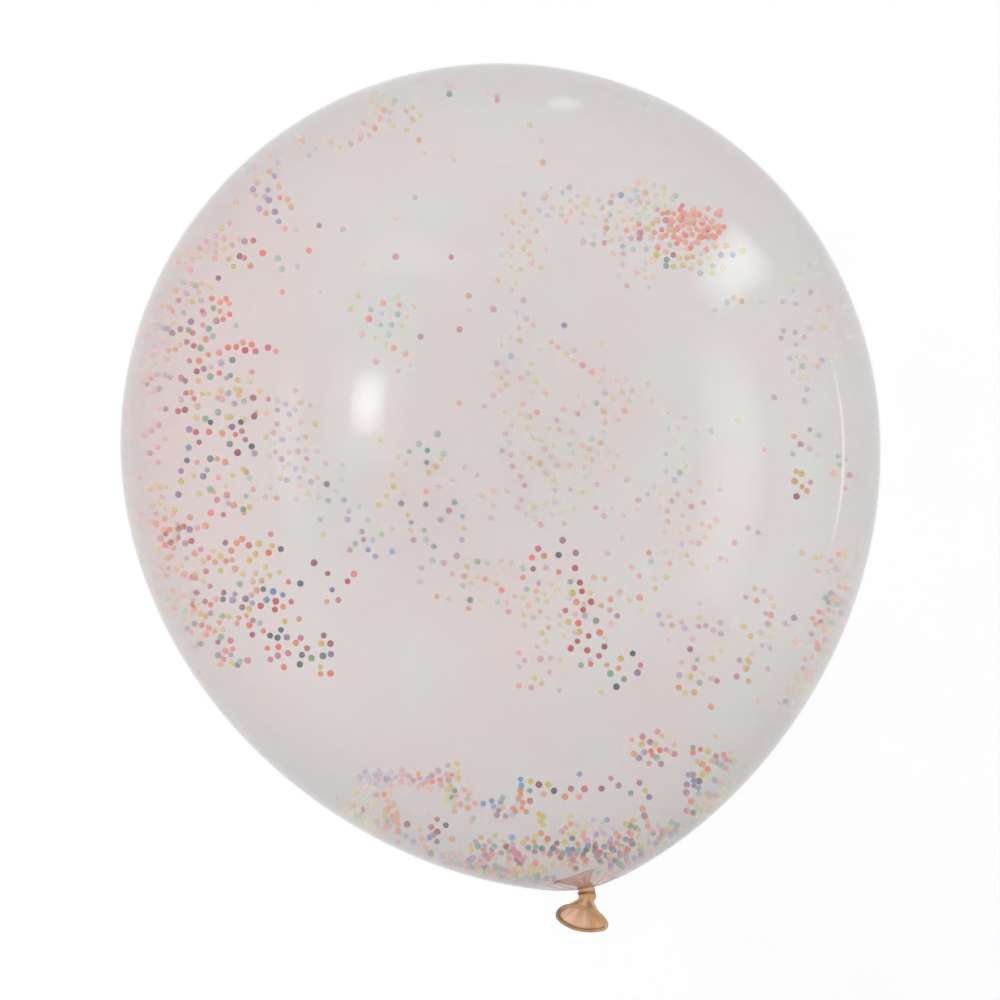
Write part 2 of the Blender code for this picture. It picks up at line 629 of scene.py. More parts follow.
@dataclass
class LatexSkin:
    """The stretched skin: a shell with an outer and an inner wall, gathered in fine ridges at the neck."""

    wall: float = 0.00018
    around: int = 240
    along: int = 132
    neck_rows: int = 30
    neck_latitude: float = math.radians(78.0)
    inner_neck_width: float = 0.0068
    neck_overlap: float = 0.0006
    gathers: int = 27
    gather_depth: float = 0.00022
    gather_reach: float = 0.014
    gather_fade: float = 0.012
    fine_gathers: int = 41
    fine_share: float = 0.5
    fine_shift: float = 1.0
    thick_reach: float = 0.0200
    ripple_depth: float = 0.00010
    ripple_waves: int = 7
    ripple_lengths: tuple[float, float] = (1.5, 7.0)
    ripple_turns: int = 5
    ripple_seed: int = 11
    blush_lean: float = 0.15
    blush_from: float = 0.45
    blush_over: float = 0.40
    cool_from: float = 0.30
    cool_over: float = 0.60
    cool_most: float = 0.20
    dense_from: float = 0.42
    finish: ClearLatex = ClearLatex()

    def latitudes(self, last: float) -> np.ndarray:
        """Latitudes from the crown to a last one, closer together near the neck."""
        body = np.linspace(-math.pi / 2, self.neck_latitude, self.along, endpoint=False)
        return np.concatenate([body, np.linspace(self.neck_latitude, last, self.neck_rows)])

    def ripples(self, latitude: np.ndarray, angle: np.ndarray) -> np.ndarray:
        """Faint unevenness of the skin: a sum of sine waves along and round it, with seeded phases.

        Args:
            latitude: Latitudes as one column.
            angle: Angles round the axis as one row.

        Returns:
            Heights from about -1 to 1 in rows along and columns round.
        """
        draw = np.random.default_rng(self.ripple_seed)
        height = np.zeros(np.broadcast_shapes(latitude.shape, angle.shape))
        for _ in range(self.ripple_waves):
            turns = draw.integers(0, self.ripple_turns)
            along = draw.uniform(*self.ripple_lengths)
            phase, roll = draw.uniform(0, FULL_TURN, 2)
            height += np.sin(along * latitude + phase) * np.cos(turns * angle + roll)
        return height / self.ripple_waves * np.cos(latitude)

    def wall_grid(self, last: float, inset: float) -> tuple[np.ndarray, np.ndarray]:
        """One wall of the skin, from the crown's pole to a pole on the axis just beyond the neck.

        The outline is turned round the axis. The ridges fall off as the exponential of minus the distance
        from the neck over their reach, and the thickness as that of minus the square of the distance over
        its own reach. The unevenness only draws the skin in.

        Args:
            last: The last latitude before the wall closes.
            inset: How far inside the form the wall lies.

        Returns:
            The grid of points, and the thickness of the latex there from 0 to 1.
        """
        latitude = self.latitudes(last)[:, None]
        angle = once_round(self.around)
        radius, distance = FORM.outline(latitude)
        to_neck = np.hypot(FORM.knot_start - distance, radius)
        near = np.exp(-to_neck / self.gather_reach) * np.clip(radius / self.gather_fade, 0, 1)
        fine = self.fine_share * np.cos(self.fine_gathers * angle + self.fine_shift)
        ridges = self.gather_depth * near * (np.cos(self.gathers * angle) + fine)
        relief = ridges + self.ripple_depth * (self.ripples(latitude, angle) - 1.0) * (1 - near)
        slope = np.arctan2(np.gradient(radius[:, 0]), np.gradient(distance[:, 0]))[:, None]
        lift = relief - inset
        out = np.maximum(radius + lift * np.cos(slope), 0.0)
        along = distance - lift * np.sin(slope)
        out[0], along[0] = 0.0, along[0].mean()
        grid = FORM.rest(off_axis(out, along, angle) + FORM.centre, inset)
        pole = FORM.centre * (1.0, 0.0, 1.0) + (0.0, grid[-1, :, 1].mean() - self.neck_overlap, 0.0)
        thickness = np.exp(-((to_neck / self.thick_reach) ** 2)) * np.ones_like(angle)
        grid = np.concatenate([grid, np.broadcast_to(pole, grid[-1:].shape)])
        return grid, np.concatenate([thickness, thickness[-1:]])

    def tints(self, grid: np.ndarray) -> dict[str, np.ndarray]:
        """How pink, how cool and how dense the skin's cast is.

        Each rises evenly along its own way: the pink towards the picture's left, the coolness towards its
        right and the denseness towards the neck.

        Args:
            grid: World points.

        Returns:
            Numbers from 0 to 1 at the points, by attribute name.
        """
        offset = (grid - FORM.centre) / FORM.radius
        pink = offset @ unit(VIEW.up * self.blush_lean - VIEW.right)
        towards_neck = -(grid - FORM.centre)[..., 1] / FORM.shoulder_length
        return {
            "blush": np.clip((pink - self.blush_from) / self.blush_over, 0, 1),
            "cool": self.cool_most * np.clip((offset @ VIEW.right - self.cool_from) / self.cool_over, 0, 1),
            "denseness": np.clip((towards_neck - self.dense_from) / (1 - self.dense_from), 0, 1),
        }

    def build(self) -> bpy.types.Object:
        """Both walls as one piece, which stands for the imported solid.

        Returns:
            The piece.
        """
        surface = Surface()
        walls = ((FORM.neck_width, 0.0, False), (self.inner_neck_width, self.wall, True))
        for neck_width, inset, inward in walls:
            grid, thickness = self.wall_grid(FORM.narrowed_to(neck_width), inset)
            surface.add(grid, inward=inward, thickness=thickness, **self.tints(grid))
        piece = surface.build("skin", self.finish.material(), Slot.CLEAR)
        # Light passes to and from the beads and the floor as if the clear skin weren't there
        piece.visible_shadow = False
        piece.visible_diffuse = False
        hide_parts(NODE)
        return piece


@dataclass(frozen=True)
class Wave:
    """A cosine round the axis: so many waves in one turn, which may drift round along the piece."""

    count: int
    size: float = 1.0
    shift: float = 0.0
    drift: float = 0.0

    def at(self, angle: np.ndarray, along: np.ndarray) -> np.ndarray:
        """The size times the cosine of: count times angle, plus drift times share along, plus shift."""
        return self.size * np.cos(self.count * angle + self.drift * along + self.shift)


@dataclass(frozen=True)
class PaintedHighlight:
    """A painted highlight: a paler stripe down the inside of the mouth."""

    size: float
    shift: float
    breadth: float

    def at(self, angle: np.ndarray) -> np.ndarray:
        """The size times the exponential of the shifted angle's cosine less 1, over the breadth."""
        return self.size * np.exp((np.cos(angle + self.shift) - 1) / self.breadth)


@dataclass(frozen=True)
class Shades:
    """How strongly the painted shade and the painted highlights colour the knot and the tail.

    The lip's painted shade, which stands partly for its thicker latex, rises from the share lip_from of the
    tail's length over the share lip_over. The painted shade on the knot's left side begins where the cosine
    of the angle falls below left_from.
    """

    groove: float = 0.50
    creases: float = 0.25
    knot: float = 0.10
    left: float = 0.50
    left_from: float = 0.3
    pleats: float = 0.40
    pleats_inside: float = 0.18
    waves: float = 0.25
    funnel_bottom: float = 0.20
    lip: float = 0.36
    lip_left: float = 0.20
    lip_from: float = 0.90
    lip_over: float = 0.06
    painted_highlights: float = 1.4
    pleat_ridges: float = 0.7


@dataclass
class KnotAndTail:
    """The tied neck below the body, the short flared tail with its pleats, and the lip round its mouth."""

    knot_width: float = 0.0074
    knot_length: float = 0.0048
    knot_turns: float = 1.5
    knot_groove_depth: float = 0.0005
    tail_length: float = 0.0084
    tail_skin: float = 0.0006
    tail_flare: float = 1.3
    pleats: tuple[Wave, ...] = (Wave(8), Wave(19, size=0.35, drift=5.0))
    pleat_depth: float = 0.0003
    funnel_bottom: float = 0.0012
    lip_width: float = 0.0220
    lip_roll: float = 0.0005
    tail_turn: float = math.radians(26.0)
    tail_lift: float = math.radians(29.0)
    creases: Wave = Wave(23, drift=9.0)
    crease_depth: float = 0.00008
    waves: tuple[Wave, ...] = (Wave(3, shift=0.6), Wave(5, size=0.6, shift=2.1))
    wave_depth: float = 0.00035
    waves_from: float = 1.2
    waves_most: float = 2.0
    painted_highlights: tuple[PaintedHighlight, ...] = (
        PaintedHighlight(size=1.0, shift=2.5, breadth=0.22),
        PaintedHighlight(size=0.8, shift=1.35, breadth=0.03),
    )
    around: int = 192
    knot_rows: int = 28
    flare_rows: int = 26
    lip_rows: int = 17
    funnel_rows: int = 24
    plug_depth: float = 0.0006
    plug_share: float = 0.9
    least_radius: float = 0.0001
    shades: Shades = Shades()
    finish: NeckLatex = NeckLatex()

    @property
    def neck_radius(self) -> float:
        """Half the neck's width."""
        return FORM.neck_width / 2

    @property
    def tail_start(self) -> float:
        """How far the tail's root is from the widest place."""
        return FORM.knot_start + self.knot_length

    @property
    def bead_radius(self) -> float:
        """Half the thickness of the rolled lip."""
        return self.tail_skin / 2 + self.lip_roll

    def knot_outline(self) -> np.ndarray:
        """The knot's swelling: the neck's radius plus half a sine wave.

        Returns:
            Radius and distance along the axis of each row.
        """
        share = np.linspace(0, 1, self.knot_rows)
        bulge = (self.knot_width / 2 - self.neck_radius) * np.sin(math.pi * share)
        return np.stack([self.neck_radius + bulge, FORM.knot_start + self.knot_length * share], axis=1)

    def tail_line(self, share: np.ndarray, offset: float) -> np.ndarray:
        """The flare's skin: the radius grows as a power of the share of the length, set off along its normal.

        Args:
            share: Shares of the tail's length.
            offset: How far out of the skin's middle line, or in if it is negative.

        Returns:
            Radius, distance along the axis and slope at each share.
        """
        first = self.neck_radius - self.tail_skin / 2
        rise = self.lip_width / 2 - self.bead_radius - first
        slope = np.arctan2(rise * self.tail_flare * share ** (self.tail_flare - 1), self.tail_length)
        radius = first + rise * share**self.tail_flare + offset * np.cos(slope)
        distance = self.tail_start + self.tail_length * share - offset * np.sin(slope)
        return np.stack([radius, distance, slope], axis=1)

    def lip_outline(self) -> np.ndarray:
        """The rolled lip: an arc round the end of the flare's middle line, from its outside to its inside.

        Returns:
            Radius and distance along the axis of each row.
        """
        end = self.tail_line(np.array([1.0]), 0.0)[0]
        reach = math.pi - math.asin(self.tail_skin / 2 / self.bead_radius)
        angle = end[2] + reach * np.linspace(1, -1, self.lip_rows)
        return end[:2] + self.bead_radius * np.stack([np.sin(angle), np.cos(angle)], axis=1)

    def outline(self) -> tuple[np.ndarray, np.ndarray]:
        """The whole outline from a pole inside the neck, over knot, flare and lip, to the funnel's pole.

        Returns:
            Radius and distance of each row, and whether the row is inside the funnel.
        """
        half = self.tail_skin / 2
        plug = FORM.knot_start - self.plug_depth
        bottom = self.funnel_bottom / self.tail_length
        start = np.array([[0.0, plug], [self.neck_radius * self.plug_share, plug]])
        flare = self.tail_line(np.linspace(0, 1, self.flare_rows)[1:-1], half)[:, :2]
        funnel = self.tail_line(np.linspace(1, bottom, self.funnel_rows)[1:], -half)[:, :2]
        end = np.array([[0.0, self.tail_start + self.funnel_bottom / 2]])
        rows = np.concatenate([start, self.knot_outline(), flare, self.lip_outline(), funnel, end])
        return rows, np.arange(len(rows)) >= len(rows) - len(funnel) - 1

    def relief(self, distance: np.ndarray, angle: np.ndarray, inside: np.ndarray) -> tuple[np.ndarray, ...]:
        """How far the knot's turns and the tail's pleats move the surface out, and how they colour it.

        The knot's groove is half of 1 less the cosine of the turns made so far less the angle, times half a
        sine wave along the knot. The pleats are cosines of the angle times half a sine wave along the flare.
        The mouth's waves are slow cosines that only draw it in, by the square of the share along the tail.
        Painted shade darkens the folds, the knot's groove and creases, its left side, the funnel's bottom and
        the lip, where it stands partly for thicker latex. Painted highlights lighten the pleats' ridges and
        stripes down the inside of the mouth.

        Args:
            distance: Distances along the axis.
            angle: Angles round it.
            inside: Whether the place is inside the funnel.

        Returns:
            The outward move, and the painted shade and the painted light, each from 0 to 1.
        """
        shades = self.shades
        knot = np.clip((distance - FORM.knot_start) / self.knot_length, 0, 1)
        groove = 0.5 - 0.5 * np.cos(FULL_TURN * self.knot_turns * knot - angle)
        wound = np.sin(math.pi * knot)
        tail = np.clip((distance - self.tail_start) / self.tail_length, 0, 1)
        gathered = np.sin(math.pi * tail)
        pleats = sum(wave.at(angle, tail) for wave in self.pleats)
        creases = self.creases.at(angle, knot) * wound
        waves = sum(wave.at(angle, tail) for wave in self.waves)
        move = self.pleat_depth * pleats * gathered + self.crease_depth * creases
        move = move - self.knot_groove_depth * groove * wound
        move = move + self.wave_depth * np.clip(waves - self.waves_from, -self.waves_most, 0) * tail**2
        # Painted shade on the knot's left side
        left = np.clip(shades.left_from - np.cos(angle), 0, 1)
        fold = shades.groove * groove + shades.creases * np.clip(creases, 0, 1) + shades.knot
        fold = (fold + shades.left * left) * wound
        deep = np.where(inside, shades.pleats_inside, shades.pleats)
        fold = fold + deep * np.clip(-pleats, 0, 1) * gathered
        fold = fold + shades.waves * np.clip(-waves, 0, 1) * tail + shades.funnel_bottom * inside * (1 - tail)
        lip = np.clip((tail - shades.lip_from) / shades.lip_over, 0, 1)
        fold = fold + (shades.lip - shades.lip_left * np.cos(angle)) * lip
        # Painted highlights: paler stripes down the inside of the mouth, and on the pleats' ridges
        painted_highlights = sum(facet.at(angle) for facet in self.painted_highlights)
        ridge = shades.painted_highlights * inside * painted_highlights * np.sqrt(gathered)
        ridge = ridge + shades.pleat_ridges * np.clip(pleats, 0, 1) * gathered * ~inside
        return move, np.clip(fold, 0, 1), np.clip(ridge, 0, 1)

    def bend(self, points: np.ndarray) -> np.ndarray:
        """Bends the knot along an arc and carries the tail with it, so that the mouth looks aside and up.

        The offset from the axis turns about the hinge by the arc so far: it is the offset times the cosine,
        plus the hinge's cross product with it times the sine, plus its part along the hinge times 1 less the
        cosine.

        Args:
            points: Points of the straight piece, from the middle.

        Returns:
            The same points after the bend.
        """
        straight = np.array([0.0, -1.0, 0.0])
        lift, turn = self.tail_lift, self.tail_turn
        way = np.array([-math.cos(lift) * math.sin(turn), -math.cos(lift) * math.cos(turn), math.sin(lift)])
        whole = math.acos(float(straight @ way))
        hinge = unit(np.cross(straight, way))
        sideways = np.cross(hinge, straight)
        distance = -points[..., 1:2]
        arc = np.clip((distance - FORM.knot_start) / self.knot_length, 0, 1) * whole
        reach = self.knot_length / whole
        before = np.minimum(distance, FORM.knot_start)
        middle = straight * (before + reach * np.sin(arc)) + sideways * reach * (1 - np.cos(arc))
        offset = points * np.array([1.0, 0.0, 1.0])
        offset = offset + straight * np.maximum(distance - self.tail_start, 0)
        across = np.cross(hinge, offset)
        along = hinge * (offset @ hinge)[..., None] * (1 - np.cos(arc))
        return middle + offset * np.cos(arc) + across * np.sin(arc) + along

    def build(self) -> bpy.types.Object:
        """The outline turned round the axis, with its relief, bent at the knot.

        Returns:
            The piece.
        """
        outline, inside = self.outline()
        angle = once_round(self.around)
        radius, distance = outline[:, :1], outline[:, 1:]
        move, fold, ridge = self.relief(distance, angle, inside[:, None])
        radius = np.where(radius > 0, np.maximum(radius + move, self.least_radius), 0.0)
        surface = Surface()
        surface.add(self.bend(off_axis(radius, distance, angle)) + FORM.centre, fold=fold, ridge=ridge)
        piece = surface.build("knot_and_tail", self.finish.material(), Slot.NECK)
        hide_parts(NODE)
        return piece


class Mix(Enum):
    """Which colours a cloud of beads is mostly made of, as parts of each foam in the order of FOAMS."""

    EVEN = (4, 5, 2, 5, 6, 3, 1, 1, 2, 1)
    RED = (5, 3, 3, 4, 3, 2, 1, 0, 1, 3)
    SCARLET = (6, 1, 2, 1, 1, 1, 0, 0, 0, 6)
    PINK = (3, 8, 1, 5, 4, 2, 0, 0, 2, 0)
    WINE = (3, 4, 4, 4, 4, 2, 1, 0, 2, 2)
    PEACH = (3, 3, 1, 10, 6, 2, 0, 0, 1, 0)
    GREEN = (2, 1, 1, 4, 7, 6, 1, 1, 1, 0)
    LILAC = (2, 4, 1, 3, 3, 1, 0, 1, 6, 0)
    BLUE = (0, 1, 2, 1, 1, 2, 3, 6, 3, 0)
    CORAL = (14, 3, 0, 4, 1, 0, 0, 0, 0, 1)
    DARK = (3, 2, 5, 3, 3, 3, 4, 1, 2, 2)
    MAGENTA = (1, 6, 6, 0, 0, 0, 0, 0, 1, 0)
    YELLOW = (1, 1, 0, 5, 12, 3, 0, 0, 0, 0)
    VIOLET = (0, 4, 0, 0, 1, 0, 0, 2, 10, 0)
    SKY = (0, 0, 0, 0, 0, 0, 0, 1, 0, 0)
    ORANGE = (0, 0, 0, 1, 0, 0, 0, 0, 0, 0)
    HEAP = (3, 6, 4, 4, 5, 2, 2, 1, 4, 1)


# Each foam's deep and pale colour. Some deep colours, teal and magenta most, are darker than such foam is:
# painted shade
FOAMS = (
    # The coral glows more: painted light
    Foam("coral", (0.90, 0.150, 0.075), (0.94, 0.70, 0.62), glow=0.20),
    Foam("pink", (0.80, 0.180, 0.250), (0.94, 0.77, 0.79)),
    Foam("magenta", (0.370, 0.022, 0.075), (0.88, 0.67, 0.73)),
    Foam("peach", (0.89, 0.370, 0.120), (0.94, 0.84, 0.71)),
    Foam("yellow", (0.83, 0.640, 0.100), (0.94, 0.90, 0.64)),
    Foam("mint", (0.200, 0.450, 0.260), (0.77, 0.90, 0.80)),
    Foam("teal", (0.020, 0.085, 0.095), (0.62, 0.77, 0.77)),
    Foam("sky", (0.090, 0.270, 0.560), (0.69, 0.82, 0.92)),
    Foam("lilac", (0.310, 0.150, 0.400), (0.84, 0.77, 0.90)),
    Foam("crimson", (0.660, 0.052, 0.062), (0.93, 0.64, 0.63)),
)


@dataclass(frozen=True)
class Cloud:
    """Beads that cling to the inside of the skin in one patch, placed as the photograph shows it.

    The place right and up in the picture, the width, the height and the least gap from bead to bead are in
    millimetres, and the tilt is in degrees.
    """

    right: float
    up: float
    width: float
    height: float
    count: int
    mix: Mix
    wall: Wall
    # Partly painted light and shade: on the whole, clouds on the lower wall are paler, as if lit, and those
    # on the upper wall deeper, as if shaded
    paleness: float
    gap: float = 1.0
    tilt: float = 0.0
    stringy: float = 0.3


UPPER, LOWER = Wall.UPPER, Wall.LOWER
# One cloud a row, with the fields in their order
CLOUD_ROWS = (
    # The left side, from the crown down
    (-92, 100, 22, 30, 26, Mix.LILAC, UPPER, 0.35),
    (-116, 75, 26, 24, 20, Mix.PINK, UPPER, 0.5),
    (-102, 73, 12, 16, 7, Mix.WINE, UPPER, 0.05),
    (-80, 75, 34, 30, 6, Mix.DARK, UPPER, 0.4, 1, 0, 0),
    (-121, 38, 22, 48, 41, Mix.WINE, UPPER, 0.22),
    (-113, 54, 14, 8, 8, Mix.CORAL, UPPER, 0.05),
    (-112, 30, 18, 40, 12, Mix.GREEN, UPPER, 0.4),
    (-138, 25, 12, 80, 30, Mix.PINK, LOWER, 0.5),
    (-134, -38, 12, 60, 30, Mix.PEACH, LOWER, 0.45, 1, 14),
    (-123, 64, 20, 40, 20, Mix.PINK, LOWER, 0.5, 1, -30),
    (-98, 38, 20, 5, 7, Mix.CORAL, UPPER, 0.1),
    (-103, 18, 22, 22, 18, Mix.PEACH, LOWER, 0.45),
    (-116, 4, 40, 24, 24, Mix.DARK, UPPER, 0.1),
    (-84, 2, 18, 32, 30, Mix.PINK, LOWER, 0.7),
    (-80, -12, 26, 26, 14, Mix.LILAC, LOWER, 0.8),
    (-118, -20, 40, 28, 23, Mix.RED, UPPER, 0.15),
    (-100, -20, 30, 24, 12, Mix.PEACH, LOWER, 0.4),
    (-128, -37, 16, 8, 10, Mix.WINE, UPPER, 0.1),
    (-116, -46, 14, 10, 12, Mix.PEACH, UPPER, 0.2),
    (-125, -60, 16, 36, 20, Mix.PEACH, LOWER, 0.25, 1, 18),
    (-117, -67, 14, 22, 19, Mix.RED, UPPER, 0.2, 1, 14),
    (-98, -42, 22, 10, 12, Mix.WINE, UPPER, 0),
    (-95, -53, 22, 12, 12, Mix.GREEN, UPPER, 0.25),
    (-97, -61, 24, 7, 11, Mix.BLUE, UPPER, 0.15),
    (-89, -63, 11, 8, 8, Mix.SCARLET, UPPER, 0),
    (-102, -68, 12, 9, 10, Mix.PEACH, UPPER, 0.1),
    (-91, -74, 22, 10, 9, Mix.DARK, UPPER, 0),
    (-108, -84, 14, 14, 12, Mix.WINE, UPPER, 0.15),
    (-86, -82, 14, 12, 11, Mix.SCARLET, UPPER, 0),
    (-74, -86, 20, 16, 12, Mix.DARK, UPPER, 0),
    (-68, -54, 22, 22, 8, Mix.DARK, UPPER, 0.15),
    (-122, -92, 4, 46, 16, Mix.DARK, LOWER, 0.35, 1, 37),
    # Left of the middle
    (-47, 49, 28, 20, 19, Mix.GREEN, UPPER, 0.8),
    (-30, 0, 12, 36, 4, Mix.GREEN, UPPER, 0.4),
    (-29, -11, 24, 20, 12, Mix.GREEN, LOWER, 0.65),
    (-58, -30, 36, 28, 18, Mix.BLUE, LOWER, 0.6),
    (-33, -37, 42, 26, 24, Mix.BLUE, LOWER, 0.6),
    (-12, -54, 38, 26, 22, Mix.GREEN, LOWER, 0.65),
    # Above the middle, to the right
    (10, 80, 22, 30, 20, Mix.PEACH, LOWER, 0.8),
    (27, 93, 24, 18, 20, Mix.LILAC, LOWER, 0.85),
    (50, 89, 28, 24, 32, Mix.EVEN, LOWER, 0.8),
    (73, 85, 30, 14, 52, Mix.CORAL, UPPER, 0.42, 0.05, 0, 0),
    (78, 87, 22, 12, 26, Mix.CORAL, LOWER, 0.25, 0.05, 0, 0),
    (60, 93, 18, 18, 20, Mix.GREEN, UPPER, 0.85, 0.4),
    (78, 75, 30, 12, 30, Mix.GREEN, UPPER, 0.55, 0.4),
    (54, 68, 22, 20, 12, Mix.PINK, LOWER, 0.85),
    (8, 52, 12, 36, 10, Mix.LILAC, LOWER, 0.9),
    # The pale middle
    (6, 26, 24, 26, 14, Mix.PEACH, LOWER, 0.8),
    (27, 36, 24, 12, 7, Mix.PINK, LOWER, 0.75),
    (46, 20, 26, 40, 22, Mix.PEACH, LOWER, 0.8),
    (19, 1, 48, 30, 32, Mix.PINK, LOWER, 0.8),
    (38, -12, 18, 34, 14, Mix.PEACH, LOWER, 0.8),
    (10, -21, 56, 24, 24, Mix.PINK, LOWER, 0.8),
    (71, 4, 16, 36, 10, Mix.PEACH, LOWER, 0.9),
    (73, -30, 48, 40, 38, Mix.PINK, LOWER, 0.85),
    (22, -44, 24, 14, 8, Mix.DARK, UPPER, 0.2),
    # The deep coloured group below the middle
    (31, -62, 12, 24, 11, Mix.SCARLET, UPPER, 0),
    (13, -60, 24, 26, 18, Mix.LILAC, LOWER, 0.7),
    (34, -82, 12, 20, 11, Mix.SCARLET, UPPER, 0),
    (47, -89, 18, 18, 9, Mix.DARK, UPPER, 0),
    (50, -61, 16, 16, 7, Mix.PEACH, UPPER, 0.45),
    (15, -87, 22, 28, 14, Mix.PINK, LOWER, 0.7),
    (61, -53, 18, 14, 6, Mix.PEACH, UPPER, 0.6),
    (32, -66, 44, 46, 22, Mix.PINK, LOWER, 0.75),
    # The right side, from the top down
    (118, 45, 34, 44, 34, Mix.LILAC, LOWER, 0.75),
    (94, 56, 18, 14, 4, Mix.PINK, LOWER, 0.7),
    (118, 0, 32, 16, 8, Mix.LILAC, LOWER, 0.7),
    (120, -16, 7, 14, 10, Mix.PEACH, UPPER, 0.1),
    (136, -12, 8, 22, 6, Mix.PINK, LOWER, 0.5),
    (130, -48, 26, 18, 10, Mix.PINK, LOWER, 0.7),
    (132, -66, 10, 36, 30, Mix.RED, LOWER, 0.35, 1, -22),
    (122, -92, 10, 30, 18, Mix.GREEN, LOWER, 0.5, 1, -36),
    (105, -76, 22, 40, 22, Mix.PINK, LOWER, 0.6),
    (75, -73, 28, 20, 16, Mix.LILAC, LOWER, 0.75),
    (80, -92, 18, 24, 15, Mix.WINE, LOWER, 0.4),
    (98, -88, 12, 26, 5, Mix.DARK, UPPER, 0.15),
    (61, -122, 16, 12, 20, Mix.PINK, UPPER, 0.35, 0.2),
    (81, -125, 8, 12, 9, Mix.PEACH, UPPER, 0.1, 0.2),
    (77, -134, 8, 10, 8, Mix.BLUE, UPPER, 0.1, 0.2),
    (88, -126, 16, 16, 14, Mix.EVEN, LOWER, 0.3, 0.2),
    # The arch of beads above the neck, on the left
    (-29, -134, 18, 6, 18, Mix.MAGENTA, LOWER, 0.65, 0.05),
    (-33, -133.5, 8, 4, 7, Mix.RED, LOWER, 0, 0.05),
    (-46, -133, 16, 6, 18, Mix.VIOLET, LOWER, 0.8, 0.05),
    (-44, -145.5, 6, 18, 14, Mix.PEACH, LOWER, 0.15, 0.05),
    (-53, -140.5, 10, 14, 12, Mix.PEACH, LOWER, 0.75, 0.2),
    (-18.5, -135.5, 7, 17, 15, Mix.YELLOW, LOWER, 0.35, 0.2),
    # Above the heap at the neck
    (8.5, -135.5, 4, 4, 4, Mix.SKY, UPPER, 0.1, 0.05, 0, 0),
    (8.5, -139.5, 4, 4, 4, Mix.ORANGE, UPPER, 0, 0.05, 0, 0),
    (8.5, -144.5, 6, 6, 8, Mix.CORAL, UPPER, 0.1, 0.05, 0, 0),
    (15, -137.5, 11, 5, 6, Mix.DARK, UPPER, 0.1, 0.4),
    (0, -144.5, 11, 8, 12, Mix.BLUE, LOWER, 0.5, 0.2),
    (-12, -143.5, 5, 14, 6, Mix.GREEN, LOWER, 0.6, 0.4),
    (16, -150.5, 3, 6, 4, Mix.YELLOW, UPPER, 0.1, 0.05),
    (30, -135.5, 8, 12, 5, Mix.DARK, UPPER, 0.3, 2, 0, 0),
    (47, -136.5, 22, 7, 8, Mix.DARK, UPPER, 0.1, 3, 0, 0),
    (57, -141.5, 6, 12, 4, Mix.DARK, UPPER, 0, 3, 0, 0),
    (29, -152.5, 8, 9, 9, Mix.YELLOW, LOWER, 0.4, 0.2),
    (40, -153.5, 8, 9, 12, Mix.VIOLET, UPPER, 0.7, 0.05),
    (33, -156.5, 4, 4, 4, Mix.CORAL, UPPER, 0.1, 0.05),
    (45, -156.5, 6, 6, 6, Mix.WINE, UPPER, 0.15, 0.2),
    (52, -152.5, 6, 6, 6, Mix.YELLOW, UPPER, 0.2, 0.2),
    (60, -152.5, 18, 12, 12, Mix.HEAP, UPPER, 0.3, 0.2),
    (-24, -152.5, 12, 14, 5, Mix.DARK, UPPER, 0, 2, 0, 0),
    # The heap at the neck
    (49, -161.5, 18, 8, 20, Mix.DARK, UPPER, 0.15, 0.2, 28),
    (7, -164.5, 5, 5, 5, Mix.MAGENTA, UPPER, 0, 0.05, 0, 0),
    (31, -167.5, 8, 5, 5, Mix.RED, UPPER, 0.15, 0.05),
    (-6, -160.5, 14, 5, 10, Mix.WINE, UPPER, 0.15, 0.4),
    (-10, -166.5, 10, 6, 9, Mix.LILAC, UPPER, 0.2, 0.2),
    (10, -170.5, 14, 4, 14, Mix.YELLOW, UPPER, 0.05, 0.05),
    (10, -159.5, 46, 11, 26, Mix.HEAP, UPPER, 0.1, 0.3, -6),
    (34, -163.5, 16, 8, 14, Mix.DARK, UPPER, 0.1, 0.2),
    (20, -164.5, 56, 10, 26, Mix.HEAP, LOWER, 0.15, 0.2),
    # Along the rim on both sides of the neck
    (-55, -149, 22, 4, 14, Mix.YELLOW, LOWER, 0.4, 0.05, -32),
    (-35, -154, 28, 10, 14, Mix.DARK, UPPER, 0.1, 1, -24),
    (-19, -166, 22, 5, 20, Mix.DARK, UPPER, 0.25, 0.05, -17),
    (-2, -170.5, 22, 4, 24, Mix.DARK, UPPER, 0.1, 0.05, -9),
    (10, -172.5, 16, 3, 16, Mix.DARK, UPPER, 0.1, 0.05, -8),
    (-4, -170.5, 44, 4, 36, Mix.DARK, LOWER, 0.1, 0.05, -8),
    (49, -167, 22, 5, 15, Mix.DARK, UPPER, 0.15, 0.05, 33),
    (66, -156, 26, 5, 15, Mix.HEAP, UPPER, 0.2, 0.05, 38),
    (84, -142, 28, 6, 18, Mix.GREEN, LOWER, 0.35, 0.05, 42),
    (78, -143, 12, 12, 9, Mix.WINE, UPPER, 0.2, 0.4),
    # Near the crown
    (-43, 129, 32, 18, 20, Mix.PEACH, LOWER, 0.55),
    (-74, 118, 30, 16, 8, Mix.PINK, LOWER, 0.6),
    (-20, 138, 60, 10, 6, Mix.RED, LOWER, 0.5),
    # Strays all over
    (0, 40, 260, 190, 12, Mix.EVEN, UPPER, 0.6, 1, 0, 0),
    (0, 40, 260, 190, 30, Mix.PINK, LOWER, 0.85, 1, 0, 0),
    (75, -45, 120, 130, 14, Mix.EVEN, LOWER, 0.8, 1, 0, 0),
)
CLOUDS = tuple(Cloud(*row) for row in CLOUD_ROWS)


